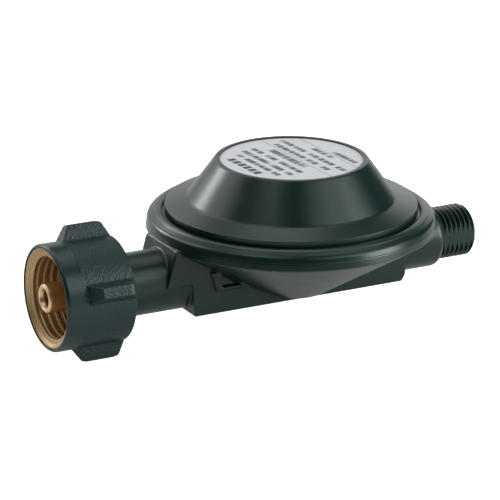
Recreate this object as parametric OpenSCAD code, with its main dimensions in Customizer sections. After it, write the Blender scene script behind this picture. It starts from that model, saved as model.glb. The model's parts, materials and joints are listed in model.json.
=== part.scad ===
// Low-pressure propane regulator for a small cylinder.
// Gas enters through the brass nipple at the origin and flows along +X to the threaded outlet.
// The diaphragm works along +Z in the round housing, and the union nut turns and slides on the inlet tube.
// The two pipe threads are left-hand. They are drawn as plain cylinders at the radius that a mate meets.

/* [Layout] */
// Distance along X from the nipple's tip to the diaphragm axis
dia_x = 66.4; // [66.2:0.1:66.8]
// Distance along X from the nipple's tip to the end of the outlet thread
outlet_end = 116; // [113:0.05:120]
// Height of the inlet and outlet axis above the foot of the keel
foot_drop = 7.4; // [7.2:0.1:7.8]
// Height of the cover's top face above the inlet axis
cover_top = 25.2; // [25:0.1:25.8]

/* [Housing] */
// Outer radius of the rim that is rolled over the cover
flange_r = 35.5; // [35.3:0.1:36]
// Half of the keel's width
keel_half = 8.25; // [8:0.05:8.6]
// Outer radius of the inlet tube
tube_r = 7.7; // [7.6:0.02:7.8]
// Outer radius of the outlet boss
boss_r = 7.9; // [7.7:0.05:8.2]
// Radius of the flat under the bowl
bowl_foot_r = 8.7; // [8.4:0.05:9.5]
// Rise over run of the bowl's underside
bowl_slope = 0.6; // [0.58:0.005:0.61]
// Height of the bowl's floor above its underside
bowl_wall = 2.4; // [2.2:0.1:2.6]
// Radius of the opening inside the rolled rim
lip_r = 31.6; // [31.3:0.1:31.8]

/* [Cover] */
// Radius of the cover's raised skirt
skirt_r = 30.86; // [30.5:0.02:31]
// Radius where the steep cone meets the skirt
crease_r = 25.4; // [24.5:0.1:25.6]
// Radius of the type label
label_r = 17.44; // [16.5:0.02:17.5]

/* [Outlet] */
// Major radius of the G 1/4 left-hand outlet thread
outlet_r = 6.578; // [6.5:0.002:6.6]
// Length of the outlet thread with its chamfer
outlet_len = 9.6; // [9:0.05:10]
// Radius of the gas passage through the outlet
outlet_bore_r = 4; // [3.5:0.1:4.2]

/* [Union nut] */
// Outer radius of the handwheel between its lugs
wheel_r = 13; // [12.8:0.1:13.4]
// Radius over the handwheel's lugs
lug_r = 16.4; // [15.5:0.1:17]
// Number of lugs
lugs = 4; // [3:1:6]
// Angle at which the nut stands on the tube
nut_turn = -17; // [-45:1:45]
// Minor radius of the W 21.8 left-hand union thread
union_r = 9.75; // [9.7:0.01:9.8]
// Outer radius of the brass insert
insert_r = 12.1; // [11.9:0.05:12.3]

/* [Inlet nipple] */
// Outer radius of the nipple
nipple_r = 3.47; // [3.2:0.01:3.8]
// Radius of the nipple's bore
nipple_bore_r = 2.15; // [1.8:0.05:2.3]
// Radius of the collar that keeps the nut on the tube
collar_r = 9.2; // [9:0.05:9.4]

/* [Mechanism] */
// Distance along X from the lever's pin to the diaphragm axis
lever_arm = 11.05; // [10.9:0.05:11.2]
// Distance of the lever's pin below the inlet axis
pin_drop = 4.3; // [4.2:0.05:4.4]
// Radius of the lever's pin
pin_r = 0.75; // [0.6:0.05:0.8]
// Gap between the nozzle's seat and the valve seal with no gas in the regulator
valve_gap = 0.66; // [0.6:0.02:0.8]

/* [Hidden] */
$fn = 96;

paint = [0.20, 0.25, 0.25];
plastic = [0.21, 0.26, 0.27];
brass = [0.72, 0.58, 0.36];
steel = [0.66, 0.67, 0.68];
rubber = [0.09, 0.09, 0.10];
label_grey = [0.82, 0.83, 0.84];
fit = 0.02;        // radial play between pieces that are screwed or pressed together
eps = 0.5;         // how far a cut runs past the face it opens

// Housing
rim_round = 3.7;                // radius of the rim's rounded outside
keel_left = dia_x - 30.5;       // keel's left end at its foot
keel_right = dia_x + 28;        // keel's right end at its foot
keel_top = 4.9;                 // buried in the bowl's wall
block_front = dia_x - 37.9;     // block over the inlet tube, at the parting plane
block_top = 9.2;
tube_front = 11.3;
boss_round = 2;
thread_start = outlet_end - outlet_len;
thread_chamfer = 0.5;
ledge_r = 28;                   // inner radius of the ledge that the diaphragm lies on
ledge_z = 9.75;
seat_r = 33;                    // pocket for the diaphragm's edge and the cover's flange
seat_top = 12.15;               // underside of the rolled lip
slot_half = 5.4;                // slot in the keel that holds the valve
slot_floor = -6.1;
slot_left = dia_x - 17;
slot_right = dia_x + 5;
shank_r = 5.2;
shank_end = 24;
passage_r = 2.4;
nozzle_r = 3;
nozzle_start = 42.6;

// Valve
pin_x = dia_x - lever_arm;
seat_lip_x = slot_left + 2.44;
seal_x = seat_lip_x + valve_gap;
seal_r = 2.4;
bracket_half = 5.2;
sheet = 0.7;

// Diaphragm
membrane_z = 9.8;
membrane = 0.8;
plate_z = 10.65;
plate = 1;
stem_r = 1.5;
relief_nut_z = 17.55;
spring_foot = plate_z + plate + 0.05;
screw_z = 20.25;
screw_r = 8.45;

// Bowl's underside at radius r
function bowl_z(r) = bowl_slope * (r - bowl_foot_r) - foot_drop;

// Points of an arc in a plane
function arc(centre, r, from, to, steps = 6) =
    [for (i = [0 : steps]) let (a = from + (to - from) * i / steps) centre + r * [cos(a), sin(a)]];

// A solid turned about the X axis: each point is [radius, x]
module turned(points) {
    rotate([0, 90, 0]) rotate_extrude() polygon(points);
}

// A rod along X
module rod_x(from, to, r) {
    translate([from, 0, 0]) rotate([0, 90, 0]) cylinder(h = to - from, r = r);
}

// A solid turned about the diaphragm axis: each point is [radius, z]
module dished(points) {
    translate([dia_x, 0, 0]) rotate_extrude() polygon(points);
}

// A washer on the diaphragm axis
module washer_z(z, h, outer, inner) {
    dished([[inner, z], [outer, z], [outer, z + h], [inner, z + h]]);
}

// An outline in the XZ plane, made as thick as 2 * half along Y
module slab(points, half) {
    translate([0, half, 0]) rotate([90, 0, 0]) linear_extrude(2 * half) polygon(points);
}

// Bowl, flange and rolled rim, filled solid
module bowl_outside() {
    dished(concat(
        [[0, -foot_drop], [bowl_foot_r, -foot_drop], [flange_r - 0.6, bowl_z(flange_r - 0.6)]],
        arc([flange_r - rim_round, 9.35], rim_round, -12, 84, 10),
        [[lip_r + 0.2, seat_top + 0.85], [lip_r, seat_top + 0.6], [0, seat_top + 0.6]]
    ));
}

// Chamber under the diaphragm, the ledge, and the pocket under the rolled lip
module bowl_inside() {
    floor_z = bowl_wall - foot_drop;
    dished([
        [0, floor_z], [bowl_foot_r, floor_z], [ledge_r, bowl_z(ledge_r) + bowl_wall], [ledge_r, ledge_z],
        [seat_r, ledge_z], [seat_r, seat_top], [lip_r, seat_top], [lip_r, cover_top], [0, cover_top]
    ]);
}

// Keel under the bowl, and the block that carries the inlet tube up to the flange
module keel() {
    slab([
        [keel_left, -foot_drop], [keel_right - 1, -foot_drop], [keel_right, -foot_drop + 1],
        [keel_right + 0.5, keel_top], [keel_left - 0.8, keel_top]
    ], keel_half);
    slab([
        [block_front, 0.2], [block_front + 2.5, block_top], [dia_x - 29, block_top], [dia_x - 29, 0.2]
    ], keel_half);
}

// Raised triangular frame on the front of the keel
module casting_frame() {
    proud = 1;
    translate([dia_x, -keel_half + 0.2, 0]) rotate([90, 0, 0]) linear_extrude(proud + 0.2) difference() {
        polygon([[-26.6, 3.1], [-25, -2.3], [-15.9, -2.3], [-15.5, -1.7], [-24.3, 3.1]]);
        polygon([[-23.6, 1.9], [-23.4, -1.1], [-18.6, -1]]);
    }
}

// Outlet boss with its rounded end, and the spigot that carries the thread
module outlet_spigot() {
    round_x = thread_start - boss_round;
    turned(concat(
        [[0, dia_x + 18], [boss_r, dia_x + 18]],
        arc([boss_r - boss_round, round_x], boss_round, 0, 90),
        [[0, thread_start]]
    ));
    rod_x(thread_start - 1, outlet_end - thread_chamfer, outlet_r);
    turned([
        [0, outlet_end - thread_chamfer], [outlet_r, outlet_end - thread_chamfer],
        [outlet_r - thread_chamfer, outlet_end], [0, outlet_end]
    ]);
}

// Zinc die casting: bowl, rim, keel, inlet tube and outlet in one piece
module body_housing() {
    color(paint) difference() {
        union() {
            bowl_outside();
            keel();
            casting_frame();
            outlet_spigot();
            rod_x(tube_front, dia_x - 22, tube_r);
        }
        bowl_inside();
        translate([slot_left, -slot_half, slot_floor]) cube([slot_right - slot_left, 2 * slot_half, 10]);
        rod_x(tube_front - eps, shank_end + 0.2, shank_r + fit);
        rod_x(shank_end, nozzle_start, passage_r);
        rod_x(nozzle_start - 0.2, slot_left + eps, nozzle_r + fit);
        rod_x(slot_right - eps, outlet_end + eps, outlet_bore_r);
        turned([
            [0, outlet_end - 1], [outlet_bore_r, outlet_end - 1], [outlet_bore_r + 1.2, outlet_end + 0.2],
            [0, outlet_end + 0.2]
        ]);
    }
}

// Bonnet over the spring, with a threaded boss for the adjusting screw and a breather hole at the back
module cover() {
    skin = 1.5;
    flange_z = 11.15;
    crease_z = 16.4;
    skirt_z = 14.35;
    color(paint) difference() {
        dished(concat(
            [[screw_r + fit, cover_top - 0.6], [screw_r + fit - 0.4, cover_top]],
            arc([label_r + 0.36, cover_top - 1], 1, 90, 38, 4),
            [[crease_r - 0.4, crease_z + 0.3], [crease_r + 0.6, crease_z - 0.4]],
            [[skirt_r - 0.2, skirt_z], [skirt_r, skirt_z - 0.2], [skirt_r, seat_top - 0.05]],
            [[seat_r - 0.2, seat_top - 0.05]],
            [[seat_r - 0.2, flange_z], [ledge_r + 0.5, flange_z], [ledge_r + 0.5, 13.4]],
            [[crease_r + 0.2, crease_z - 0.4 - skin], [crease_r - 1.4, crease_z - 0.6]],
            [[label_r - 0.1, cover_top - skin], [screw_r + 2, cover_top - skin]],
            [[screw_r + 2, 19], [screw_r + fit, 19]]
        ));
        translate([dia_x, 27, 10]) cylinder(h = 8, r = 0.8);
    }
}

// Round plate on the cover's top
module type_label() {
    color(label_grey) washer_z(cover_top, 0.36, label_r, 0);
}

// One lug of the handwheel, on the +Z side
module lug() {
    intersection() {
        slab([
            [5.9, wheel_r - 1], [5.9, wheel_r - 0.2], [8, lug_r], [15.9, lug_r], [16.7, lug_r - 0.4],
            [18.2, wheel_r - 0.2], [18.2, wheel_r - 1]
        ], 3);
        translate([4, 0, 0]) rotate([90, 0, 90]) linear_extrude(15) polygon([
            [-2.5, wheel_r - 1.2], [2.5, wheel_r - 1.2], [1.2, lug_r + 0.2], [-1.2, lug_r + 0.2]
        ]);
    }
}

// Four keys that stop the brass insert turning in the handwheel
module keys(half) {
    for (i = [0 : 3]) {
        rotate([90 * i + 45, 0, 0]) translate([4, -half, insert_r - 0.8]) cube([10, 2 * half, 1.2]);
    }
}

// Plastic handwheel: smooth collar at the front, lugs, and a rear wall that runs along the tube
module handwheel() {
    front = 0.33;
    rear = 18.33;
    pocket = 14.05;
    color(plastic) rotate([nut_turn, 0, 0]) {
        difference() {
            union() {
                turned(concat(
                    [[0, front], [wheel_r - 0.4, front], [wheel_r, front + 0.5]],
                    [[wheel_r, 5.4], [wheel_r - 0.1, 5.5], [wheel_r - 0.1, rear - 0.4]],
                    [[wheel_r - 0.6, rear], [0, rear]]
                ));
                for (i = [0 : lugs - 1]) {
                    rotate([360 * i / lugs, 0, 0]) lug();
                }
            }
            rod_x(front - eps, pocket, insert_r + fit);
            rod_x(pocket - eps, rear + eps, tube_r + 0.5);
        }
        keys(1);
    }
}

// Brass insert: wide countersink, W 21.8 thread, and the inner flange that the collar holds
module nut_insert() {
    front = 0.6;
    rear = 14;
    color(brass) rotate([nut_turn, 0, 0]) difference() {
        turned([
            [tube_r + 0.35, 11.5], [union_r + 0.4, 11.5], [union_r + 0.4, 10.4], [union_r, 10.4],
            [union_r, front + 1.9], [union_r + 1, front + 1], [insert_r - 0.1, front],
            [insert_r, front + 0.1], [insert_r, rear], [tube_r + 0.35, rear]
        ]);
        keys(1.05);
    }
}

// Slip washer between the collar and the insert
module thrust_washer() {
    color([0.85, 0.84, 0.80]) turned([[8.05, 10.75], [9.4, 10.75], [9.4, 11.35], [8.05, 11.35]]);
}

// Brass nipple, collar and threaded shank in one turned piece
module inlet_stem() {
    strainer_x = 20;
    color(brass) difference() {
        turned([
            [0, 0], [nipple_r, 0], [nipple_r, 8], [collar_r - 0.4, 8], [collar_r, 8.4], [collar_r, 10.6],
            [shank_r, 10.6], [shank_r, shank_end], [0, shank_end]
        ]);
        rod_x(-eps, strainer_x, nipple_bore_r);
        rod_x(strainer_x, shank_end + eps, 3.6);
    }
}

// Sealing ring between the collar and the end of the inlet tube
module stem_gasket() {
    color([0.70, 0.40, 0.25]) turned([[5.3, 10.6], [7.5, 10.6], [7.5, tube_front], [5.3, tube_front]]);
}

// Cup-shaped gas strainer in the back of the shank
module inlet_strainer() {
    color(steel) turned([
        [0, 20.1], [3.5, 20.1], [3.5, 23.9], [3, 23.9], [3, 20.6], [0, 20.6]
    ]);
}

// Brass nozzle with a hexagon flange and a raised seat
module orifice_nozzle() {
    flange_x = slot_left + 0.8;
    seat_x = flange_x + 1.2;
    color(brass) difference() {
        union() {
            turned([
                [0, nozzle_start], [nozzle_r, nozzle_start], [nozzle_r, nozzle_start + 1],
                [1.85, nozzle_start + 1], [1.85, nozzle_start + 2.3], [nozzle_r, nozzle_start + 2.3],
                [nozzle_r, flange_x + 0.1], [0, flange_x + 0.1]
            ]);
            translate([flange_x, 0, 0]) rotate([0, 90, 0]) cylinder(h = 1.2, r = 4.2, $fn = 6);
            turned([[0, seat_x - 0.1], [2.2, seat_x - 0.1], [1.7, seat_lip_x], [0, seat_lip_x]]);
        }
        rod_x(nozzle_start - eps, slot_left - 1, 1.2);
        rod_x(slot_left - 2, seat_lip_x + eps, 0.9);
    }
}

// O-ring in the nozzle's groove
module nozzle_o_ring() {
    color(rubber) translate([nozzle_start + 1.65, 0, 0]) rotate([0, 90, 0]) rotate_extrude()
        translate([2.42, 0]) circle(r = 0.55, $fn = 32);
}

// Bent sheet bracket that the nozzle clamps in place, with the holes for the lever's pin
module valve_bracket() {
    low = -5.9;
    tall = 9.3;
    web_x = slot_left + 0.05;
    color(steel) difference() {
        translate([web_x, -bracket_half, low]) cube([7.6, 2 * bracket_half, tall]);
        translate([web_x + sheet, -bracket_half + sheet, low - eps])
            cube([9, 2 * (bracket_half - sheet), tall + 2 * eps]);
        rod_x(web_x - eps, web_x + sheet + eps, nozzle_r + 0.05);
        translate([pin_x, 0, -pin_drop]) rotate([90, 0, 0])
            cylinder(h = 20, r = pin_r + fit, center = true);
    }
}

// Sliding block that carries the seal, with a neck for the lever's fork
module valve_carrier() {
    neck_x = pin_x - 0.85;
    head_x = pin_x + 0.85;
    color([0.80, 0.80, 0.76]) difference() {
        union() {
            translate([seal_x + 0.3, -4.3, -2.9]) cube([neck_x - seal_x - 0.3, 8.6, 5.8]);
            rod_x(neck_x - 0.2, head_x + 0.2, 1.5);
            translate([head_x, -2.6, -2.6]) cube([1.4, 5.2, 5.2]);
        }
        rod_x(seal_x - eps, seal_x + 1.2, seal_r + fit);
    }
}

// Rubber disc that closes on the nozzle
module valve_seal() {
    color(rubber) rod_x(seal_x, seal_x + 1.2, seal_r);
}

// Bell crank: a fork around the carrier's neck and a long arm under the diaphragm's stem
module lever() {
    arm_x = pin_x - 0.5;
    tip_z = 1.4;
    color(steel) difference() {
        union() {
            slab([
                [arm_x, 1.7], [arm_x + 1, 1.7], [arm_x + 1, -3.6], [dia_x - 8.1, -3.6],
                [dia_x - 4.1, tip_z + 1], [dia_x + 1.9, tip_z + 1], [dia_x + 1.9, tip_z],
                [dia_x - 3.5, tip_z], [dia_x - 7.5, -4.8], [arm_x, -4.8]
            ], 3);
            translate([pin_x, 0, -pin_drop]) rotate([90, 0, 0])
                cylinder(h = 8.4, r = 1.3, center = true);
        }
        translate([arm_x - 1, -1.75, -1.75]) cube([3, 3.5, 5]);
        translate([dia_x - 1.8, -1.55, tip_z - 1]) cube([5, 3.1, 3]);
        translate([pin_x, 0, -pin_drop]) rotate([90, 0, 0])
            cylinder(h = 20, r = pin_r + 0.05, center = true);
    }
}

// Pin that the lever turns on
module lever_pin() {
    color(steel) translate([pin_x, 0, -pin_drop]) rotate([90, 0, 0])
        cylinder(h = 2 * bracket_half, r = pin_r, center = true);
}

// Rubber diaphragm with one rolled convolution
module diaphragm() {
    top = membrane_z + membrane;
    roll = [24.4, membrane_z];
    color(rubber) dished(concat(
        [[1.9, membrane_z]],
        arc(roll, 2.6 + membrane, 180, 360, 12),
        [[seat_r - 0.2, membrane_z], [seat_r - 0.2, top], [roll[0] + 2.6, top]],
        arc(roll, 2.6, 360, 180, 12),
        [[roll[0] - 2.6, top], [1.9, top]]
    ));
}

// Slip ring that keeps the rubber from twisting when the rim is rolled
module rim_washer() {
    color(steel) washer_z(plate_z, 0.45, seat_r - 0.2, ledge_r + 0.6);
}

// Pressed plate on top of the diaphragm, with an upturned edge
module diaphragm_plate() {
    top = plate_z + plate;
    color(steel) dished([
        [stem_r + 0.4, plate_z], [19.8, plate_z], [20, plate_z + 0.2], [20, top + 1], [19, top + 1],
        [19, top], [stem_r + 0.4, top]
    ]);
}

// Stem: hook for the lever at the bottom, relief seat under the diaphragm, threaded top
module diaphragm_stem() {
    seat_z = 8.6;
    color(brass) dished([
        [0, -0.2], [2.3, -0.2], [2.3, 1.05], [1.25, 1.05], [1.25, 2.95], [1.7, 2.95],
        [1.7, seat_z], [4.6, seat_z], [4.6, seat_z + 0.8], [4.2, seat_z + 1.1], [3.6, seat_z + 1.1],
        [3.4, seat_z + 0.8], [stem_r, seat_z + 0.8], [stem_r, relief_nut_z + 1.6], [0, relief_nut_z + 1.6]
    ]);
}

// Outline of the relief spring, coils closed up to a sleeve
module relief_spring() {
    color(steel) washer_z(spring_foot, relief_nut_z - 0.05 - spring_foot, 3.4, 2.2);
}

// Hexagon nut that holds the relief spring on the stem
module relief_nut() {
    color(brass) translate([dia_x, 0, relief_nut_z]) difference() {
        cylinder(h = 1.5, r = 3.7, $fn = 6);
        translate([0, 0, -eps]) cylinder(h = 3, r = stem_r + fit);
    }
}

// Outline of the main spring, coils closed up to a sleeve
module main_spring() {
    color(steel) washer_z(spring_foot, screw_z - 0.05 - spring_foot, 7.5, 6.3);
}

// Cup-shaped screw that sets the main spring, with a hexagon socket
module adjusting_screw() {
    top = cover_top - 0.8;
    color(brass) translate([dia_x, 0, 0]) difference() {
        translate([0, 0, screw_z]) cylinder(h = top - screw_z, r = screw_r);
        translate([0, 0, screw_z - eps]) cylinder(h = 2.6 + eps, r = 5.2);
        translate([0, 0, screw_z]) cylinder(h = 10, r = 3, $fn = 6);
    }
}

body_housing();
cover();
type_label();
handwheel();
nut_insert();
thrust_washer();
inlet_stem();
stem_gasket();
inlet_strainer();
orifice_nozzle();
nozzle_o_ring();
valve_bracket();
valve_carrier();
valve_seal();
lever();
lever_pin();
diaphragm();
rim_washer();
diaphragm_plate();
diaphragm_stem();
relief_spring();
relief_nut();
main_spring();
adjusting_screw();
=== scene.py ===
"""Looks of the low-pressure propane regulator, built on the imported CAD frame.

Lengths in the helpers are millimetres in the row frame: +X to the outlet, +Z to the cover, and the
nipple's tip at the origin. Material and stage lengths are metres.
"""
import json
import math

import bpy
import numpy as np
from mathutils import Matrix, Vector


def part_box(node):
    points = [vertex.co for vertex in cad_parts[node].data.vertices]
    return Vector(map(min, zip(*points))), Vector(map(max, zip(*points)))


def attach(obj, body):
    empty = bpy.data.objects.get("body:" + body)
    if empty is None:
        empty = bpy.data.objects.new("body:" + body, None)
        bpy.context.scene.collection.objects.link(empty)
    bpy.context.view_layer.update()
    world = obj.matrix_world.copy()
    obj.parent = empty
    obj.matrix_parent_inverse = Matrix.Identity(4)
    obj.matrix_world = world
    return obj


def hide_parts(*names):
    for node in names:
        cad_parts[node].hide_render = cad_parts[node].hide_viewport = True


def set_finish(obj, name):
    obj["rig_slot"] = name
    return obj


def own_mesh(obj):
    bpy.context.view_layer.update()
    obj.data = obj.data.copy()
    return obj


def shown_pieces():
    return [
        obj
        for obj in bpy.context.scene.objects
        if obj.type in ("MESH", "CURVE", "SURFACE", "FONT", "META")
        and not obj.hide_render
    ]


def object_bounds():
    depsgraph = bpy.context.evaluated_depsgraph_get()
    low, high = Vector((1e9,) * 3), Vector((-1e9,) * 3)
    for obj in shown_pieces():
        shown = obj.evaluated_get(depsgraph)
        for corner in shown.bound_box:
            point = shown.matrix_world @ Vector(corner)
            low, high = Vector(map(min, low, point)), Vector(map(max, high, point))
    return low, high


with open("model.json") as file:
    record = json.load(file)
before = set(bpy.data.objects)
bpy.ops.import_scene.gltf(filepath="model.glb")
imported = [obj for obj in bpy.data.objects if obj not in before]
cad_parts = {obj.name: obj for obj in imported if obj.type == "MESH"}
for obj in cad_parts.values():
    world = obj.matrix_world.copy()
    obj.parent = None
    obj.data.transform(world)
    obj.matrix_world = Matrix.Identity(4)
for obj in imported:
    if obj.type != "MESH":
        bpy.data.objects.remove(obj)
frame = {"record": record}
packed_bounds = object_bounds()

MM = 0.001
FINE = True


def corners(node):
    """Lowest and highest corner of a CAD node, in millimetres."""
    lo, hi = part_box(node)
    return np.array(lo) / MM, np.array(hi) / MM


# Sizes read from the frame
cover_lo, cover_hi = corners("cover")
DIA_X = (cover_lo[0] + cover_hi[0]) / 2
COVER_TOP = cover_hi[2]
FOOT = -corners("body_housing")[0][2]
OUTLET_END = corners("body_housing")[1][0]
label_lo, label_hi = corners("type_label")
LABEL_R = (label_hi[0] - label_lo[0]) / 2

# The nut rests with no lug straight up
NUT_TURN = math.radians(-17)


# ---------------------------------------------------------------- mesh helpers

SHARP_R = 0.03          # radius of a corner that is given none
FINE_FILLET_R = 0.2     # up to this radius a fillet gets few steps
STRAIGHT = 0.02         # a corner within this angle of straight is left alone
SIDE_SHARE = 0.49       # most of a side that one fillet may take
LONGEST_SIDE = 3.0
TINY = 1e-9


def piece(name, verts, faces, normals=None, turn=0.0):
    """A smooth mesh object from vertices in millimetres, turned about the X axis."""
    mesh = bpy.data.meshes.new(name)
    c, s = math.cos(turn), math.sin(turn)
    about_x = np.array([[1, 0, 0], [0, c, s], [0, -s, c]])
    verts = np.asarray(verts, float) @ about_x * MM
    faces = [f if isinstance(f, list) else f.tolist() for f in faces]
    mesh.from_pydata(verts.tolist(), [], faces)
    mesh.polygons.foreach_set("use_smooth", np.ones(len(mesh.polygons), bool))
    mesh.validate(clean_customdata=False)
    if normals is not None:
        normals = np.asarray(normals, float) @ about_x
        mesh.normals_split_custom_set_from_vertices(normals.tolist())
    mesh.update()
    obj = bpy.data.objects.new(name, mesh)
    bpy.context.scene.collection.objects.link(obj)
    return obj


def filleted(points):
    """Closed outline with each corner (a, b, radius) rounded; gives its points and left normals."""
    pts = [np.array(p[:2], float) for p in points]
    rad = [p[2] if len(p) > 2 else 0.0 for p in points]
    out, nor = [], []
    count = len(pts)
    for i in range(count):
        a, b, c = pts[i - 1], pts[i], pts[(i + 1) % count]
        u, v = a - b, c - b
        lu, lv = np.linalg.norm(u), np.linalg.norm(v)
        u, v = u / lu, v / lv
        half = math.acos(max(-1.0, min(1.0, float(u @ v)))) / 2
        n_in = np.array([-u[1], u[0]])
        n_out = np.array([v[1], -v[0]])
        if b[0] < TINY:
            # a point on the axis of a turned piece stays sharp
            out.append(b)
            nor.append(n_out if a[0] < TINY else n_in)
            continue
        if half > math.pi / 2 - STRAIGHT:
            out.append(b)
            n = n_in + n_out
            nor.append(n / np.linalg.norm(n))
            continue
        r = max(rad[i], SHARP_R)
        reach = min(r / math.tan(half), SIDE_SHARE * lu, SIDE_SHARE * lv)
        r = reach * math.tan(half)
        centre = b + (u + v) / np.linalg.norm(u + v) * r / math.sin(half)
        p0, p1 = b + u * reach, b + v * reach
        d0, d1 = p0 - centre, p1 - centre
        a0 = math.atan2(d0[1], d0[0])
        a1 = math.atan2(d1[1], d1[0])
        turn = (a1 - a0 + math.pi) % (2 * math.pi) - math.pi
        steps = 6 if r > FINE_FILLET_R else 3
        sign = 1.0 if (d0 @ n_in) > 0 else -1.0
        for k in range(steps + 1):
            ang = a0 + turn * k / steps
            d = np.array([math.cos(ang), math.sin(ang)])
            out.append(centre + d * r)
            nor.append(d * sign)
    return np.array(out), np.array(nor)


def refined(pts, nor):
    """Splits the long sides of an outline, so that the shading has points to work with."""
    out, n_out = [], []
    for i in range(len(pts)):
        p, q = pts[i], pts[(i + 1) % len(pts)]
        on_axis = max(p[0], q[0]) <= TINY
        n = 1 if on_axis else max(1, int(np.linalg.norm(q - p) / LONGEST_SIDE))
        for k in range(n):
            t = k / n
            m = nor[i] * (1 - t) + nor[(i + 1) % len(pts)] * t
            out.append(p * (1 - t) + q * t)
            n_out.append(m / max(np.linalg.norm(m), TINY))
    return np.array(out), np.array(n_out)


def place(axis, u, v, t):
    """A point at (u, v) across the axis and t along it."""
    return (t, u, v) if axis == "x" else (DIA_X + u, v, t)


def aim(axis, u, v, t):
    """A direction across and along the axis."""
    return (t, u, v) if axis == "x" else (u, v, t)


def lathe(name, outline, axis, steps):
    """A solid turned about X ("x", outline of (r, x)) or the diaphragm axis ("z", of (r, z))."""
    pts, nor = refined(*filleted(outline))
    area = 0.5 * np.sum(pts[:, 0] * np.roll(pts[:, 1], -1) - np.roll(pts[:, 0], -1) * pts[:, 1])
    ccw = area > 0
    if not ccw:
        nor = -nor
    verts, norms, rings = [], [], []
    angles = np.linspace(0, 2 * math.pi, steps, endpoint=False)
    for (r, t), (nr, nt) in zip(pts, nor):
        if r < 1e-6:
            rings.append(np.full(steps, len(verts)))
            verts.append(place(axis, 0, 0, t))
            norms.append(aim(axis, 0, 0, 1 if nt >= 0 else -1))
        else:
            rings.append(len(verts) + np.arange(steps))
            for a in angles:
                verts.append(place(axis, r * math.cos(a), r * math.sin(a), t))
                norms.append(aim(axis, nr * math.cos(a), nr * math.sin(a), nt))
    faces = []
    for a, b in zip(rings, rings[1:] + rings[:1]):
        if a[0] == a[1] and b[0] == b[1]:
            continue
        for k in range(steps):
            k2 = (k + 1) % steps
            # a ring that is one point on the axis gives triangles
            quad = [int(x) for x in dict.fromkeys([a[k], a[k2], b[k2], b[k]])]
            faces.append(quad if ccw else quad[::-1])
    return piece(name, verts, faces, norms)


def grid_mesh(name, points, turn=0.0):
    """A closed mesh from a grid of points that is joined end to end both ways."""
    nu, nv = points.shape[:2]
    ids = np.arange(nu * nv).reshape(nu, nv)
    b = np.roll(ids, -1, 0)
    quads = np.stack([ids, b, np.roll(b, -1, 1), np.roll(ids, -1, 1)], -1)
    return piece(name, points.reshape(-1, 3), quads.reshape(-1, 4), turn=turn)


# ------------------------------------------------------- distance-field helpers

COARSE = 4              # fine steps in a coarse step
NEAR_STEPS = 6.5        # a coarse value below this many fine steps may hide the surface
MOST_STEPS = 0.8        # a vertex moves no further than this from its cell's mean


def join(a, b, r):
    """Union of two distance fields with a fillet of radius r in the corner."""
    return np.maximum(r, np.minimum(a, b)) - np.hypot(np.maximum(r - a, 0), np.maximum(r - b, 0))


def cut(a, b, r):
    """Intersection of two distance fields with the edge rounded to r."""
    return -join(-a, -b, r)


def convex(u, v, outline, r):
    """Distance to a convex outline given counter-clockwise, its corners rounded to r."""
    field = None
    for (ax, ay), (bx, by) in zip(outline, outline[1:] + outline[:1]):
        ex, ey = bx - ax, by - ay
        length = math.hypot(ex, ey)
        side = ((u - ax) * ey - (v - ay) * ex) / length
        field = side if field is None else cut(field, side, r)
    return field


def smooth(t):
    """Smooth step from 0 to 1."""
    t = np.clip(t, 0, 1)
    return t * t * (3 - 2 * t)


def mesh_field(name, field, low, high, step, turn=0.0):
    """Mesh of the surface where a distance field is zero, with normals taken from the field."""
    low = np.array(low, float)
    count = np.ceil((np.array(high) - low) / step / COARSE).astype(int) * COARSE + 1
    axes = [low[i] + step * np.arange(count[i]) for i in range(3)]

    # a coarse grid first, then every point of the fine grid that may be near the surface
    coarse = field(*np.meshgrid(*[a[::COARSE] for a in axes], indexing="ij"))
    nearest = [np.minimum((np.arange(n) + 2) // COARSE, (n - 1) // COARSE) for n in count]
    f = coarse[np.ix_(*nearest)]
    i, j, k = np.nonzero(np.abs(f) < NEAR_STEPS * step)
    f[i, j, k] = field(axes[0][i], axes[1][j], axes[2][k])

    # a quad round each grid edge that crosses the surface, and a vertex in each cell on it
    cells, spots, quads = [], [], []
    dims = count - 1
    for axis in range(3):
        o1, o2 = (axis + 1) % 3, (axis + 2) % 3
        a = np.take(f, np.arange(count[axis] - 1), axis)
        b = np.take(f, np.arange(1, count[axis]), axis)
        e = np.argwhere((a < 0) != (b < 0))
        fa, fb = a[tuple(e.T)], b[tuple(e.T)]
        p = e.astype(float)
        p[:, axis] += fa / (fa - fb)
        around = []
        for d1, d2 in ((0, 0), (-1, 0), (-1, -1), (0, -1)):
            c = e.copy()
            c[:, o1] += d1
            c[:, o2] += d2
            around.append(np.ravel_multi_index(c.T, dims))
            spots.append(p)
        around = np.stack(around, 1)
        cells.append(around.T.ravel())
        quads.append(np.where((fa < 0)[:, None], around, around[:, ::-1]))
    ids, where = np.unique(np.concatenate(cells), return_inverse=True)
    spots = np.concatenate(spots)
    n = np.bincount(where)
    means = np.stack([np.bincount(where, spots[:, c]) / n for c in range(3)], 1)
    start = means * step + low

    def slope(p):
        """Gradient of the field and its length."""
        h = 0.25 * step * np.eye(3)
        g = np.stack([(field(*(p + d).T) - field(*(p - d).T)) / (0.5 * step) for d in h], 1)
        return g, np.maximum(np.linalg.norm(g, axis=1, keepdims=True), 1e-6)

    # the vertices move onto the surface, but stay near their cells
    verts = start.copy()
    for _ in range(3):
        g, size = slope(verts)
        verts = verts - g / size ** 2 * field(*verts.T)[:, None]
        verts = start + np.clip(verts - start, -MOST_STEPS * step, MOST_STEPS * step)
    g, size = slope(verts)
    faces = np.searchsorted(ids, np.concatenate(quads))
    return piece(name, verts, faces, g / size, turn)


# ------------------------------------------------------------------- the housing

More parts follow.
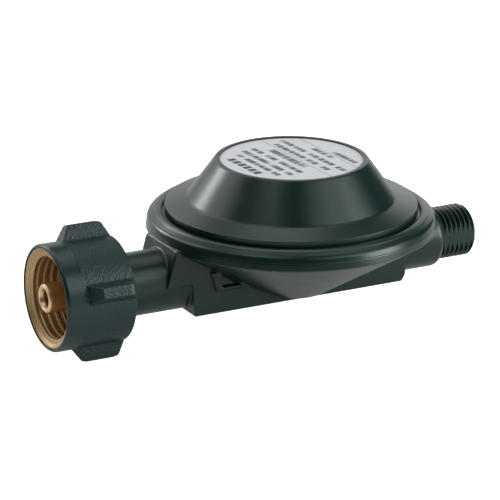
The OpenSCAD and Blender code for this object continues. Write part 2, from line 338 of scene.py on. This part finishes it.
THREAD_FROM = OUTLET_END - 9.6
RIM_JOINT_Z = 9.3
TUBE_R = 7.7
TUBE_FROM, TUBE_TO = 11.3, 44.4
KEEL_HALF = 8.25
FRAME_RISE = 0.95
FRAME_BACK_Y = -6
BOSS_R = 7.9
BOSS_FROM = 84.4
SPIGOT_R = 5.65
SPIGOT_END = 100

# Outlines of (radius, z) about the diaphragm axis
BOWL = [
    (-60, -FOOT), (8.7, -FOOT), (35.2, 8.5), (35.3, 8.7), (35.3, RIM_JOINT_Z), (-60, RIM_JOINT_Z),
]
CHAMBER = [(-60, -5), (8.7, -5), (28, 6.58), (28, 12), (-60, 12)]

# Side views of (x, z)
KEEL = [(35.9, -FOOT), (93.4, -FOOT), (94.4, -6.4), (94.9, 4.9), (35.1, 4.9)]
BLOCK = [(28.5, 0.2), (37.4, 0.2), (37.4, 9.2), (31.0, 9.2)]
FRAME_OUT = [(41.4, -2.35), (50.5, -2.35), (50.9, -1.7), (42.2, 3.2), (39.7, 3.2)]
FRAME_IN = [(43.0, -1.1), (47.9, -0.95), (42.75, 2.0)]

# Bores on the flow axis: from x, to x, radius
BORES = [(0, 24.2, 5.22), (24, 42.6, 2.4), (42.4, 49.9, 3.02), (70.9, 120, 4.0)]

# Channel for the valve and the lever under the chamber
CHANNEL_X = (49.4, 71.4)
CHANNEL_HALF = 5.4
CHANNEL_Z = (-6.1, 3.9)


def casting(x, y, z):
    """Distance to the zinc casting below the rim, with its bores."""
    r = np.hypot(x - DIA_X, y)
    around = np.hypot(y, z)
    side = np.abs(y) - KEEL_HALF
    bowl = convex(r, z, BOWL, 0.5)
    keel = cut(convex(x, z, KEEL, 0.3), side, 0.2)
    block = cut(convex(x, z, BLOCK, 0.25), side, 0.35)
    tube = cut(cut(around - TUBE_R, TUBE_FROM - x, 0.4), x - TUBE_TO, 0.3)
    body = join(block, tube, 0.25 + 0.2 * smooth(z / 1.5))
    body = np.minimum(body, join(tube, keel, 0.35))

    # the fillet to the bowl is wide at the inlet end and runs out towards the outlet and the foot
    corner = (0.5 + 0.8 * smooth((50 - x) / 8)) * (0.05 + 0.95 * smooth((z + 7.0) / 1.5))
    body = join(body, bowl, corner)

    # the raised triangular frame, on the front only
    raised = cut(convex(x, z, FRAME_OUT, 0.5), -y - KEEL_HALF - FRAME_RISE, 0.75)
    raised = cut(raised, y - FRAME_BACK_Y, 0.3)
    body = join(body, cut(raised, -convex(x, z, FRAME_IN, 0.3), 0.5), 0.12)

    boss = cut(cut(around - BOSS_R, x - THREAD_FROM, 1.9), BOSS_FROM - x, 0.3)
    spigot = cut(cut(around - SPIGOT_R, x - THREAD_FROM - 0.6, 0.1), SPIGOT_END - x, 0.1)
    body = join(body, np.minimum(boss, spigot), 0.4)

    body = cut(body, -convex(r, z, CHAMBER, 0.4), 0.3)
    hollow = np.maximum.reduce([
        CHANNEL_X[0] - x, x - CHANNEL_X[1], np.abs(y) - CHANNEL_HALF,
        CHANNEL_Z[0] - z, z - CHANNEL_Z[1],
    ])
    for start, end, bore in BORES:
        hollow = np.minimum(hollow, np.maximum.reduce([start - x, x - end, around - bore]))
    return np.maximum(body, -hollow)


housing = mesh_field(
    "housing_casting", casting, (10.6, -37, -9.2), (108, 37, 10.2), 0.34 if FINE else 0.6)
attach(housing, "regulator")
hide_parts("body_housing")
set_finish(housing, "housing_paint")

rim = lathe("housing_rim", [
    (28, 8.55), (35.36, 8.55, 0.1), (35.49, 8.72, 0.1), (35.24, 10.1, 0.3), (35.14, 10.3, 0.05),
    (35.32, 10.47, 0.1), (34.9, 11.77, 3.5), (33.72, 12.5, 0.2), (33.58, 12.54, 0.05),
    (33.46, 12.72, 0.2), (32.7, 13.02, 1), (31.95, 13.08, 0.3), (31.6, 12.85, 0.2),
    (31.6, 12.15), (33, 12.15), (33, 9.75), (28, 9.75),
], "z", 360)
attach(rim, "regulator")
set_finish(rim, "housing_paint")


def thread_form(phase):
    """Height of a rounded thread form, from 0 at the root to 1 at the crest."""
    t = np.abs((phase % 1.0) * 2 - 1)
    return smooth((t - 0.08) / 0.84)


def outlet_thread():
    """Left-hand thread with the flats that the die leaves at its parting plane."""
    pitch = 25.4 / 19
    root, crest, flat, bore = 5.72, 6.578, 5.68, 4.0
    chamfer, groove = 0.75, 0.02
    back = THREAD_FROM - 0.5
    ang = np.linspace(0, 2 * math.pi, 288 if FINE else 96, endpoint=False)[:, None]
    x = np.linspace(back, OUTLET_END, 220 if FINE else 110)[None, :]
    r = root + (crest - root) * thread_form(x / pitch + ang / (2 * math.pi))
    r = np.minimum(r, crest - np.maximum(0, x - OUTLET_END + chamfer))
    r = np.minimum(r, flat / np.maximum(np.abs(np.cos(ang)), 1e-6))
    parting = np.abs(np.sin(ang)) < 0.01
    r = np.where(parting, r - groove, r)
    rings = [
        (5.2, OUTLET_END), (bore + 0.1, OUTLET_END - 1), (bore, OUTLET_END - 1.2), (bore, back),
    ]
    r = np.concatenate([r] + [np.full_like(ang, at[0]) for at in rings], 1)
    x = np.broadcast_to(x, (len(ang), x.shape[1]))
    x = np.concatenate([x] + [np.full_like(ang, at[1]) for at in rings], 1)
    return grid_mesh("housing_outlet_thread", np.stack([x, r * np.cos(ang), r * np.sin(ang)], -1))


thread = outlet_thread()
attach(thread, "regulator")
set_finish(thread, "housing_paint")

# ------------------------------------------------------------- cover and label

RECESS_R = LABEL_R + 0.05
RECESS_Z = COVER_TOP - 0.06
EDGE_Z = label_hi[2]
BREATHER_Y = 27
BREATHER_R = 0.8

cover = lathe("cover_bonnet", [
    (28.5, 11.15), (32.8, 11.15), (32.8, 12.1), (30.86, 12.1), (30.86, 14.35, 0.2),
    (25.45, 16.1, 1.1), (18.62, EDGE_Z, 0.7), (RECESS_R, EDGE_Z, 0.05),
    (RECESS_R, RECESS_Z), (8.07, RECESS_Z), (8.47, COVER_TOP - 0.6), (8.47, 19),
    (10.45, 19), (10.45, 23.7, 0.5), (17.34, 23.7, 0.5), (23.7, 15.8, 1), (25.3, 14.5, 0.5),
    (28.5, 13.4, 0.3),
], "z", 360)
drill = lathe("breather_cutter", [(0, 8), (BREATHER_R, 8), (BREATHER_R, 19), (0, 19)], "z", 32)
drill.location = (0, BREATHER_Y * MM, 0)
hole = cover.modifiers.new("breather", "BOOLEAN")
hole.object, hole.operation, hole.solver = drill, "DIFFERENCE", "EXACT"
bpy.context.view_layer.update()
drilled_cover = cover.evaluated_get(bpy.context.evaluated_depsgraph_get())
drilled = bpy.data.meshes.new_from_object(drilled_cover)
cover.modifiers.clear()
cover.data = drilled
bpy.data.objects.remove(drill)
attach(cover, "regulator")
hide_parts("cover")
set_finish(cover, "housing_paint")

PLATE_UNDER, PLATE_TOP = COVER_TOP - 0.05, COVER_TOP + 0.02
label = lathe("type_label_plate", [
    (0, PLATE_UNDER), (LABEL_R, PLATE_UNDER), (LABEL_R, PLATE_TOP, 0.03), (0, PLATE_TOP),
], "z", 256)
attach(label, "regulator")
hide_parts("type_label")
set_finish(label, "label_plate")

# --------------------------------------------------------- union nut and nipple

COLLAR_R = 13.0
COLLAR_X = (0.33, 5.4)
DRUM_R = 12.9
DRUM_X = (4, 18.33)
LUG_HALF = 2.3
LUG_TAPER = 0.29
WHEEL_BORE_R = 12.12
WHEEL_BORE_END = 14.05
HUB_BORE_R = 8.2
KEY_HALF = 1
KEY_R = (11.3, 12.4)
KEY_X = (4, 14.2)
INSERT_R = 12.1
SLOT_FLOOR_R = 11.28
SLOT_HALF_ANGLE = 1.05 / 11.7
QUARTER = math.pi / 2

# Side view of a lug, (x, distance from the axis)
LUG = [
    (5.8, 11.6), (18.15, 11.6), (18.15, 12.8), (16.7, 16.0), (15.9, 16.38), (8.0, 16.38),
    (5.8, 12.75),
]


def wheel(x, y, z):
    """Distance to the plastic handwheel, standing with a lug straight up."""
    r = np.hypot(y, z)
    collar = cut(cut(r - COLLAR_R, COLLAR_X[0] - x, 0.8), x - COLLAR_X[1], 0.1)
    drum = cut(cut(r - DRUM_R, DRUM_X[0] - x, 0.1), x - DRUM_X[1], 0.5)

    # four lugs, by folding the angle into one quarter
    ang = np.arctan2(y, z)
    fold = (ang + QUARTER / 2) % QUARTER - QUARTER / 2
    across, out = r * np.sin(fold), r * np.cos(fold)
    flank = (np.abs(across) - LUG_HALF + (out - DRUM_R) * LUG_TAPER) * 0.96
    lug = cut(convex(x, out, LUG, 0.3), flank, 0.2)
    body = join(np.minimum(collar, drum), lug, 0.2)

    bore = np.minimum(np.maximum(r - WHEEL_BORE_R, x - WHEEL_BORE_END), r - HUB_BORE_R)
    body = cut(body, -bore, 0.12)

    # four keys in the bore, between the lugs
    fold = ang % QUARTER - QUARTER / 2
    across, out = r * np.sin(fold), r * np.cos(fold)
    key = np.maximum.reduce([
        np.abs(across) - KEY_HALF, KEY_R[0] - out, r - KEY_R[1], KEY_X[0] - x, x - KEY_X[1],
    ])
    return np.minimum(body, key)


grip = mesh_field(
    "handwheel_grip", wheel, (-0.2, -17, -17), (18.9, 17, 17), 0.24 if FINE else 0.45, NUT_TURN)
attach(grip, "union_nut")
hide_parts("handwheel")
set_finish(grip, "handwheel_plastic")


def union_insert():
    """Brass insert with the left-hand W 21.8 thread inside and four key slots outside."""
    pitch = 25.4 / 14
    crest, root = 9.95, 10.1
    start, end = 1.35, 10.5
    start_r, end_r = 10.8, 10.15
    ang = np.linspace(0, 2 * math.pi, 360 if FINE else 120, endpoint=False)[:, None]
    x = np.linspace(start, end, 200 if FINE else 100)[None, :]
    t = np.abs((x / pitch + ang / (2 * math.pi)) % 1.0 * 2 - 1)
    r = root - (root - crest) * smooth((t - 0.25) / 0.5)
    # the lead-in at the front and the relief at the end
    r = np.maximum(r, start_r - np.maximum(0, x - start) * 2.2)
    r = np.maximum(r, end_r - np.maximum(0, end - x) * 3)

    # rings of (r, x): the countersink, then the inner flange and the rear face
    front = [
        (12.07, 0.64), (12.0, 0.6), (11.9, 0.64), (11.6, 0.85), (11.1, 1.2), (11.0, 1.27),
        (10.9, 1.32),
    ]
    rear = [
        (end_r, 10.7), (end_r, 11.4), (10.0, 11.5), (8.2, 11.5), (8.05, 11.65), (8.05, 13.9),
        (8.15, 14.0), (10.7, 14.0),
    ]

    # the outside, with the slots open to the rear and the full radius in front of them
    in_slot = np.abs((ang % QUARTER) - QUARTER / 2) < SLOT_HALF_ANGLE
    slotted = np.where(in_slot, SLOT_FLOOR_R, INSERT_R)
    outside = [
        (slotted - 0.1, 14.0), (slotted, 13.9), (slotted, 4.2), (INSERT_R, 4.0), (INSERT_R, 0.7),
    ]

    rings = front + [(r, x)] + rear + outside
    shape = (len(ang), 1)
    r = np.concatenate([q if np.ndim(q) else np.full(shape, q) for q, _ in rings], 1)
    x = np.concatenate([np.broadcast_to(at, (len(ang), np.size(at))) for _, at in rings], 1)
    points = np.stack([x, r * np.sin(ang), r * np.cos(ang)], -1)
    return grid_mesh("nut_insert_thread", points, NUT_TURN)


insert = union_insert()
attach(insert, "union_nut")
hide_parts("nut_insert")
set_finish(insert, "brass")

NIPPLE_R = 3.47
NIPPLE_COLLAR_R = 9.2
nipple = lathe("inlet_nipple", [
    (2.15, 0.95, 0.2), (2.5, 0, 0.3), (NIPPLE_R, 0, 0.85), (NIPPLE_R, 8, 0.5), (8.8, 8, 0.1),
    (NIPPLE_COLLAR_R, 8.4, 0.1), (NIPPLE_COLLAR_R, 10.6, 0.15), (5.2, 10.6),
    (5.2, 24, 0.3), (3.6, 24), (3.6, 20), (2.15, 20),
], "x", 192)
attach(nipple, "regulator")
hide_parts("inlet_stem")
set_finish(nipple, "brass")


# --------------------------------------------------------------------- springs

COIL_TURNS = 5
STEPS_A_TURN = 40
STEPS_ROUND_WIRE = 14


def coil(name, mean_r, wire_r, low, high):
    """A compression spring about the diaphragm axis with closed ends."""
    n, m = COIL_TURNS * STEPS_A_TURN, STEPS_ROUND_WIRE
    t = np.linspace(0, 1, n)
    bottom, top = low + wire_r, high - wire_r
    dead = 1.0 / COIL_TURNS
    closed = wire_r * 2.02
    z = bottom + closed * np.clip(t / dead, 0, 1)
    z = z + (top - bottom - 2 * closed) * np.clip((t - dead) / (1 - 2 * dead), 0, 1)
    z = z + closed * np.clip((t - 1 + dead) / dead, 0, 1)
    a = t * COIL_TURNS * 2 * math.pi
    b = np.linspace(0, 2 * math.pi, m, endpoint=False)
    r = mean_r + wire_r * np.cos(b)[None, :]
    x, y = DIA_X + r * np.cos(a)[:, None], r * np.sin(a)[:, None]
    points = np.stack([x, y, z[:, None] + wire_r * np.sin(b)[None, :]], -1)
    ids = np.arange(n * m).reshape(n, m)
    beside = np.roll(ids, -1, 1)
    quads = np.stack([ids[:-1], ids[1:], beside[1:], beside[:-1]], -1).reshape(-1, 4)
    faces = [q.tolist() for q in quads] + [ids[0].tolist(), ids[-1][::-1].tolist()]
    return piece(name, points.reshape(-1, 3), faces)


main_lo, main_hi = corners("main_spring")
spring = coil("main_spring_coil", 6.9, 0.6, main_lo[2], main_hi[2])
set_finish(spring, "spring_steel")
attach(spring, "regulator")
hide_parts("main_spring")
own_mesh(spring)

relief_lo, relief_hi = corners("relief_spring")
small = coil("relief_spring_coil", 2.8, 0.5, relief_lo[2], relief_hi[2])
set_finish(small, "spring_steel")
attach(small, "relief_stem")
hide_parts("relief_spring")
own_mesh(small)

# ------------------------------------------------------------------- materials


class Graph:
    """Short names for building a material's nodes."""

    def __init__(self, name):
        self.material = bpy.data.materials.new(name)
        self.material.use_nodes = True
        self.tree = self.material.node_tree
        self.bsdf = self.tree.nodes["Principled BSDF"]
        self.coords = self.tree.nodes.new("ShaderNodeTexCoord").outputs["Object"]

    def put(self, socket, value):
        """Sets or links one input."""
        if isinstance(value, bpy.types.NodeSocket):
            self.tree.links.new(value, socket)
        else:
            socket.default_value = value

    def math(self, op, a, b=0.0):
        """One arithmetic step."""
        node = self.tree.nodes.new("ShaderNodeMath")
        node.operation = op
        self.put(node.inputs[0], a)
        self.put(node.inputs[1], b)
        return node.outputs[0]

    def add(self, a, b):
        """Sum of two values."""
        return self.math("ADD", a, b)

    def scaled(self, a, b):
        """Product of two values."""
        return self.math("MULTIPLY", a, b)

    def noise(self, scale, detail, rough=0.5, stretch=(1, 1, 1)):
        """Noise from 0 to 1, scale in features per metre."""
        mapping = self.tree.nodes.new("ShaderNodeMapping")
        self.put(mapping.inputs["Vector"], self.coords)
        mapping.inputs["Scale"].default_value = stretch
        node = self.tree.nodes.new("ShaderNodeTexNoise")
        self.put(node.inputs["Vector"], mapping.outputs[0])
        node.inputs["Scale"].default_value = scale
        node.inputs["Detail"].default_value = detail
        node.inputs["Roughness"].default_value = rough
        return node.outputs["Fac"]

    def line_noise(self, at, scale):
        """Noise from 0 to 1 along one measure."""
        node = self.tree.nodes.new("ShaderNodeTexNoise")
        node.noise_dimensions = "1D"
        self.put(node.inputs["W"], at)
        node.inputs["Scale"].default_value = scale
        node.inputs["Detail"].default_value = 0.0
        return node.outputs["Fac"]

    def cells(self, scale):
        """Distance to the nearest grain, for pebbled surfaces."""
        node = self.tree.nodes.new("ShaderNodeTexVoronoi")
        node.feature = "SMOOTH_F1"
        self.put(node.inputs["Vector"], self.coords)
        node.inputs["Scale"].default_value = scale
        return node.outputs["Distance"]

    def remap(self, value, a, b, c, d):
        """A smooth step of the value from a to b, giving c to d."""
        node = self.tree.nodes.new("ShaderNodeMapRange")
        node.interpolation_type = "SMOOTHSTEP"
        for socket, setting in zip(node.inputs, (value, a, b, c, d)):
            self.put(socket, setting)
        return node.outputs[0]

    def mix(self, fac, a, b):
        """Colour a where fac is 0 and b where it is 1."""
        node = self.tree.nodes.new("ShaderNodeMix")
        node.data_type = "RGBA"
        factor, first, second = node.inputs[0], node.inputs[6], node.inputs[7]
        self.put(factor, fac)
        self.put(first, a)
        self.put(second, b)
        return node.outputs[2]

    def edges(self):
        """1 on worn convex edges, 0 elsewhere."""
        node = self.tree.nodes.new("ShaderNodeNewGeometry")
        return self.remap(node.outputs["Pointiness"], 0.53, 0.62, 0.0, 1.0)

    def xyz(self):
        """The three coordinates, in metres."""
        node = self.tree.nodes.new("ShaderNodeSeparateXYZ")
        self.put(node.inputs[0], self.coords)
        return node.outputs

    def bump(self, height, distance, strength):
        """A normal from a height of the given distance in metres."""
        node = self.tree.nodes.new("ShaderNodeBump")
        node.inputs["Strength"].default_value = strength
        node.inputs["Distance"].default_value = distance
        self.put(node.inputs["Height"], height)
        return node.outputs[0]

    def finish(self, base, rough, normal=None, **constants):
        """Links the looks to the surface, sets its constants and returns the material."""
        self.put(self.bsdf.inputs["Base Color"], base)
        self.put(self.bsdf.inputs["Roughness"], rough)
        if normal is not None:
            self.put(self.bsdf.inputs["Normal"], normal)
        for name, value in constants.items():
            self.bsdf.inputs[name.replace("_", " ")].default_value = value
        return self.material


def rgb(r, g, b):
    """An opaque colour."""
    return (r, g, b, 1.0)


def painted():
    """Dark green-grey powder paint on zinc, with faint orange peel."""
    g = Graph("painted_zinc")
    tone = g.remap(g.noise(260, 3), 0.3, 0.7, 0.0, 1.0)
    base = g.mix(tone, rgb(0.0020, 0.0165, 0.0135), rgb(0.0035, 0.0195, 0.0160))
    base = g.mix(g.scaled(g.edges(), 0.12), base, rgb(0.04, 0.06, 0.06))
    rough = g.remap(g.noise(300, 2), 0.3, 0.7, 0.285, 0.305)
    peel = g.add(g.noise(2600, 2), g.scaled(g.noise(900, 2), 0.5))
    tint = rgb(0.88, 1.0, 1.0)
    return g.finish(base, rough, g.bump(peel, 0.000012, 0.5), IOR=1.5, Specular_Tint=tint)


def wheel_plastic():
    """Glass-filled nylon: a smooth collar, and a leathery grain on the drum and lugs behind it."""
    g = Graph("handwheel_plastic")
    behind = g.remap(g.xyz()[0], 0.0050, 0.0056, 0.0, 1.0)
    base = g.mix(g.noise(300, 3), rgb(0.0030, 0.0190, 0.0180), rgb(0.0050, 0.0225, 0.0215))
    base = g.mix(g.scaled(g.edges(), 0.15), base, rgb(0.05, 0.07, 0.07))
    grain = g.add(g.cells(1900), g.scaled(g.noise(2600, 2, 0.5, (0.55, 1, 1)), 1.2))
    fine = g.scaled(g.noise(2500, 2), 0.15)
    height = g.add(g.scaled(grain, behind), fine)
    rough = g.remap(g.noise(700, 2), 0.3, 0.7, 0.285, 0.31)
    rough = g.add(rough, g.scaled(behind, 0.13))
    tint = rgb(0.86, 1.0, 1.0)
    return g.finish(base, rough, g.bump(height, 0.00011, 0.8), IOR=1.5, Specular_Tint=tint)


def turned_brass():
    """Brass with fine turning marks along X and a little tarnish; a painted highlight on the
    nipple's tip.
    """
    g = Graph("turned_brass")
    marks = g.noise(2600, 2, 0.6, (1, 0.02, 0.02))
    grains = g.noise(2400, 3, 0.7)
    tarnish = g.remap(grains, 0.35, 0.7, 0.0, 1.0)
    base = g.mix(tarnish, rgb(0.56, 0.40, 0.22), rgb(0.45, 0.30, 0.15))
    x, y, z = g.xyz()
    around = g.math("SQRT", g.add(g.scaled(y, y), g.scaled(z, z)))

    # the nipple's barrel behind its tip is redder; the tip is polished and painted lighter as a
    # highlight
    behind_tip = g.remap(x, 0.0006, 0.0020, 0.0, 1.0)
    barrel = g.scaled(behind_tip, g.remap(around, 0.0037, 0.0034, 0.0, 1.0))
    base = g.mix(g.scaled(barrel, 0.8), base, rgb(0.56, 0.29, 0.12))
    tip = g.scaled(g.remap(x, 0.0012, 0.0004, 0.0, 1.0), g.remap(around, 0.0040, 0.0037, 0.0, 1.0))
    # painted highlight: the tip's base colour is lightened towards pale gold, as if lit
    base = g.mix(g.scaled(tip, 0.8), base, rgb(0.85, 0.66, 0.38))
    base = g.mix(g.scaled(g.edges(), 0.4), base, rgb(0.80, 0.66, 0.42))
    rough = g.add(g.remap(grains, 0.3, 0.7, 0.42, 0.54), g.scaled(marks, 0.06))
    rough = g.math("SUBTRACT", rough, g.scaled(tip, 0.12))
    height = g.add(marks, g.scaled(grains, 0.5))
    return g.finish(base, rough, g.bump(height, 0.00005, 0.7), Metallic=1.0)


# Rows of the label: u of its middle, half its height, from v, to v, and stripes, dense bars or
# the seed of its bars; u runs along X and v along Y from the label's middle
STRIPES, DENSE = "stripes", "dense"
LABEL_ROWS = [
    (-12.9, 1.05, -7.4, 7.4, STRIPES), (-9.5, 0.74, -10.1, 9.0, 3.0),
    (-6.7, 0.74, -11.6, 11.0, 11.0), (-3.7, 0.74, -10.6, 12.5, 23.0),
    (-0.4, 0.95, -9.2, 9.0, DENSE), (3.1, 0.74, -11.7, 12.6, 31.0),
    (6.1, 0.74, -14.0, 14.4, 47.0), (9.2, 0.7, -3.4, 5.4, 53.0), (11.9, 0.74, -9.8, 1.1, 61.0),
]
LABEL_RULES = (1.3, 10.5)
ROW_SLANT, RULE_SLANT = 0.055, 0.028
INK_BLUR = 0.05


def printed_label():
    """Pale foil plate with rules and rows of illegible bars in place of its printing."""
    g = Graph("printed_label")
    px, py, _ = g.xyz()
    u = g.scaled(g.math("SUBTRACT", px, DIA_X * MM), 1 / MM)
    v = g.scaled(py, 1 / MM)

    def near(value, middle, half):
        """1 within half of the middle."""
        off = g.math("ABSOLUTE", g.math("SUBTRACT", value, middle))
        return g.remap(off, half + INK_BLUR, half - INK_BLUR, 0.0, 1.0)

    def bars(seed, letter, gap):
        """Bars of uneven length along the row, in groups."""
        bar = g.remap(g.line_noise(g.add(v, seed), letter), 0.33, 0.42, 0.0, 1.0)
        group = g.remap(g.line_noise(g.add(v, seed * 1.7), gap), 0.27, 0.32, 0.0, 1.0)
        return g.scaled(g.scaled(bar, group), 0.9)

    ink = 0.0
    row_at = g.add(u, g.scaled(v, ROW_SLANT))
    for at, half, low, high, pattern in LABEL_ROWS:
        row = g.scaled(near(row_at, at, half), near(v, (low + high) / 2, (high - low) / 2))
        if pattern == STRIPES:
            marks = near(g.math("FRACT", g.scaled(v, 0.42)), 0.5, 0.36)
        elif pattern == DENSE:
            marks = bars(71.0, 1.1, 0.2)
        else:
            marks = bars(pattern, 1.5, 0.32)
        ink = g.math("MAXIMUM", ink, g.scaled(row, marks))
    for at in LABEL_RULES:
        rule = near(g.add(u, g.scaled(v, RULE_SLANT)), at, 0.13)
        ink = g.math("MAXIMUM", ink, g.scaled(rule, 0.55))
    paper = g.mix(g.noise(700, 3), rgb(0.66, 0.67, 0.70), rgb(0.72, 0.73, 0.76))
    base = g.mix(ink, paper, rgb(0.04, 0.08, 0.08))
    rough = g.remap(g.noise(1500, 2), 0.3, 0.7, 0.58, 0.66)
    return g.finish(base, rough, g.bump(g.noise(3000, 2), 0.00001, 0.3))


def plain(name, low, high, rough, bump, scale, **constants):
    """A worn surface between two tones."""
    g = Graph(name)
    tone = g.remap(g.noise(scale, 4, 0.6), 0.3, 0.7, 0.0, 1.0)
    base = g.mix(tone, rgb(*low), rgb(*high))
    worn = rgb(*[min(1.0, c * 1.5 + 0.02) for c in high])
    base = g.mix(g.scaled(g.edges(), 0.3), base, worn)
    value = g.remap(g.noise(scale * 3, 2), 0.3, 0.7, rough - 0.05, rough + 0.05)
    return g.finish(base, value, g.bump(g.noise(scale * 6, 2), bump, 0.5), **constants)


def steel(name, low, high, rough, bump, scale):
    """A bare metal surface."""
    return plain(name, low, high, rough, bump, scale, Metallic=1.0)


finishes = {
    "housing_paint": painted(),
    "brass": turned_brass(),
    "label_plate": printed_label(),
    "handwheel_plastic": wheel_plastic(),
    "nylon": plain("nylon", (0.62, 0.61, 0.56), (0.72, 0.71, 0.66), 0.45, 0.00003, 500),
    "gasket_fibre": plain(
        "gasket_fibre", (0.30, 0.10, 0.05), (0.42, 0.16, 0.08), 0.75, 0.00006, 900),
    "steel_mesh": steel("steel_mesh", (0.50, 0.50, 0.50), (0.62, 0.74, 0.61), 0.38, 0.00008, 2500),
    "rubber": plain("rubber", (0.012, 0.012, 0.013), (0.022, 0.022, 0.024), 0.74, 0.00004, 700),
    "sheet_steel": steel("sheet_steel", (0.48, 0.48, 0.49), (0.60, 0.60, 0.60), 0.30, 0.00002, 400),
    "spring_steel": steel(
        "spring_steel", (0.40, 0.40, 0.42), (0.55, 0.55, 0.56), 0.28, 0.00002, 600),
}
cad_slots = {row["node"]: row["material_slot"] for row in frame["record"]["subparts"]}
for shown_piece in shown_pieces():
    slot = shown_piece.get("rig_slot") or cad_slots[shown_piece.name]
    shown_piece.data.materials.clear()
    shown_piece.data.materials.append(finishes[slot])

# ------------------------------------------------------------ floor and lights

# What the camera sees of the floor and the world is brighter than what lights the object
FLOOR_SHOWN, FLOOR_LIGHT = 0.95, 0.04
WORLD_SHOWN, WORLD_LIGHT = 1.0, 0.02
FLOOR_HALF = 6.0
FLOOR_GAP = 0.0004
CAMERA_AZIMUTH = -28.2
LIGHT_DISTANCE = 1.2
LIT_POINT = (DIA_X * MM, 0, 0.005)

# azimuth from the camera's side of the object, elevation, side in metres, power in watts
STUDIO = [
    (-125, 20, 0.25, 2.3), (-150, 35, 0.25, 1.25), (75, 15, 0.6, 9.0), (90, 27, 0.6, 1.3),
    (75, 40, 0.6, 1.2), (45, 40, 0.6, 1.6), (135, 65, 0.6, 1.2), (165, 15, 0.6, 1.3),
    (-165, 15, 0.6, 0.9), (-165, 65, 0.6, 1.7), (-135, 15, 0.6, 1.1), (-105, 40, 0.6, 2.4),
    (-45, 65, 0.6, 2.1),
]


def shown_and_lit(tree, shown, lit):
    """A strength for what the camera sees and another for what lights the object."""
    path = tree.nodes.new("ShaderNodeLightPath")
    node = tree.nodes.new("ShaderNodeMapRange")
    tree.links.new(path.outputs["Is Camera Ray"], node.inputs["Value"])
    node.inputs["To Min"].default_value = lit
    node.inputs["To Max"].default_value = shown
    return node.outputs["Result"]


scene = bpy.context.scene
floor_mesh = bpy.data.meshes.new("floor")
floor_z = packed_bounds[0][2] - FLOOR_GAP
floor_corners = [
    (x * FLOOR_HALF, y * FLOOR_HALF, floor_z) for x, y in ((-1, -1), (1, -1), (1, 1), (-1, 1))
]
floor_mesh.from_pydata(floor_corners, [], [(0, 1, 2, 3)])
floor = bpy.data.objects.new("floor", floor_mesh)
scene.collection.objects.link(floor)
white = Graph("floor_white")
floor_tone = white.mix(white.noise(3, 2), rgb(0.90, 0.895, 0.885), rgb(0.92, 0.915, 0.905))
floor_mesh.materials.append(white.finish(floor_tone, 0.9, Emission_Color=rgb(1.0, 1.0, 1.0)))
floor_strength = shown_and_lit(white.tree, FLOOR_SHOWN, FLOOR_LIGHT)
white.put(white.bsdf.inputs["Emission Strength"], floor_strength)


def softbox(name, azimuth, elevation, side, power):
    """A square light aimed at the object; azimuth 0 stands on the -Y side and 90 on the +X side."""
    data = bpy.data.lights.new(name, "AREA")
    data.size, data.energy = side, power
    obj = bpy.data.objects.new(name, data)
    a, e = math.radians(azimuth), math.radians(elevation)
    away = Vector((math.sin(a) * math.cos(e), -math.cos(a) * math.cos(e), math.sin(e)))
    obj.location = Vector(LIT_POINT) + away * LIGHT_DISTANCE
    obj.rotation_mode = "QUATERNION"
    obj.rotation_quaternion = away.to_track_quat("Z", "Y")
    scene.collection.objects.link(obj)


for index, (azimuth, elevation, side, power) in enumerate(STUDIO):
    softbox("softbox_%02d" % index, CAMERA_AZIMUTH + azimuth, elevation, side, power)

world = bpy.data.worlds.new("studio")
scene.world = world
world.use_nodes = True
background = world.node_tree.nodes["Background"]
background.inputs["Color"].default_value = rgb(0.95, 0.97, 1.0)
world_strength = shown_and_lit(world.node_tree, WORLD_SHOWN, WORLD_LIGHT)
world.node_tree.links.new(world_strength, background.inputs["Strength"])

# ---------------------------------------------------------------------- camera

LENS_MM, SENSOR_MM = 235.1, 36
CAMERA_AT = (-0.30059, -0.66207, 0.26088)
CAMERA_RIGHT = (0.88203, -0.47114, 0.00716)
CAMERA_UP = (0.14660, 0.28884, 0.94609)
CAMERA_BACK = (-0.44780, -0.83343, 0.32383)

camera_data = bpy.data.cameras.new("camera")
camera_data.lens, camera_data.sensor_width = LENS_MM, SENSOR_MM
camera_data.clip_start, camera_data.clip_end = 0.01, 50
camera = bpy.data.objects.new("camera", camera_data)
turned_to = Matrix((CAMERA_RIGHT, CAMERA_UP, CAMERA_BACK)).transposed().to_4x4()
camera.matrix_world = Matrix.Translation(Vector(CAMERA_AT)) @ turned_to
scene.collection.objects.link(camera)
scene.camera = camera
scene.view_settings.view_transform = "Standard"
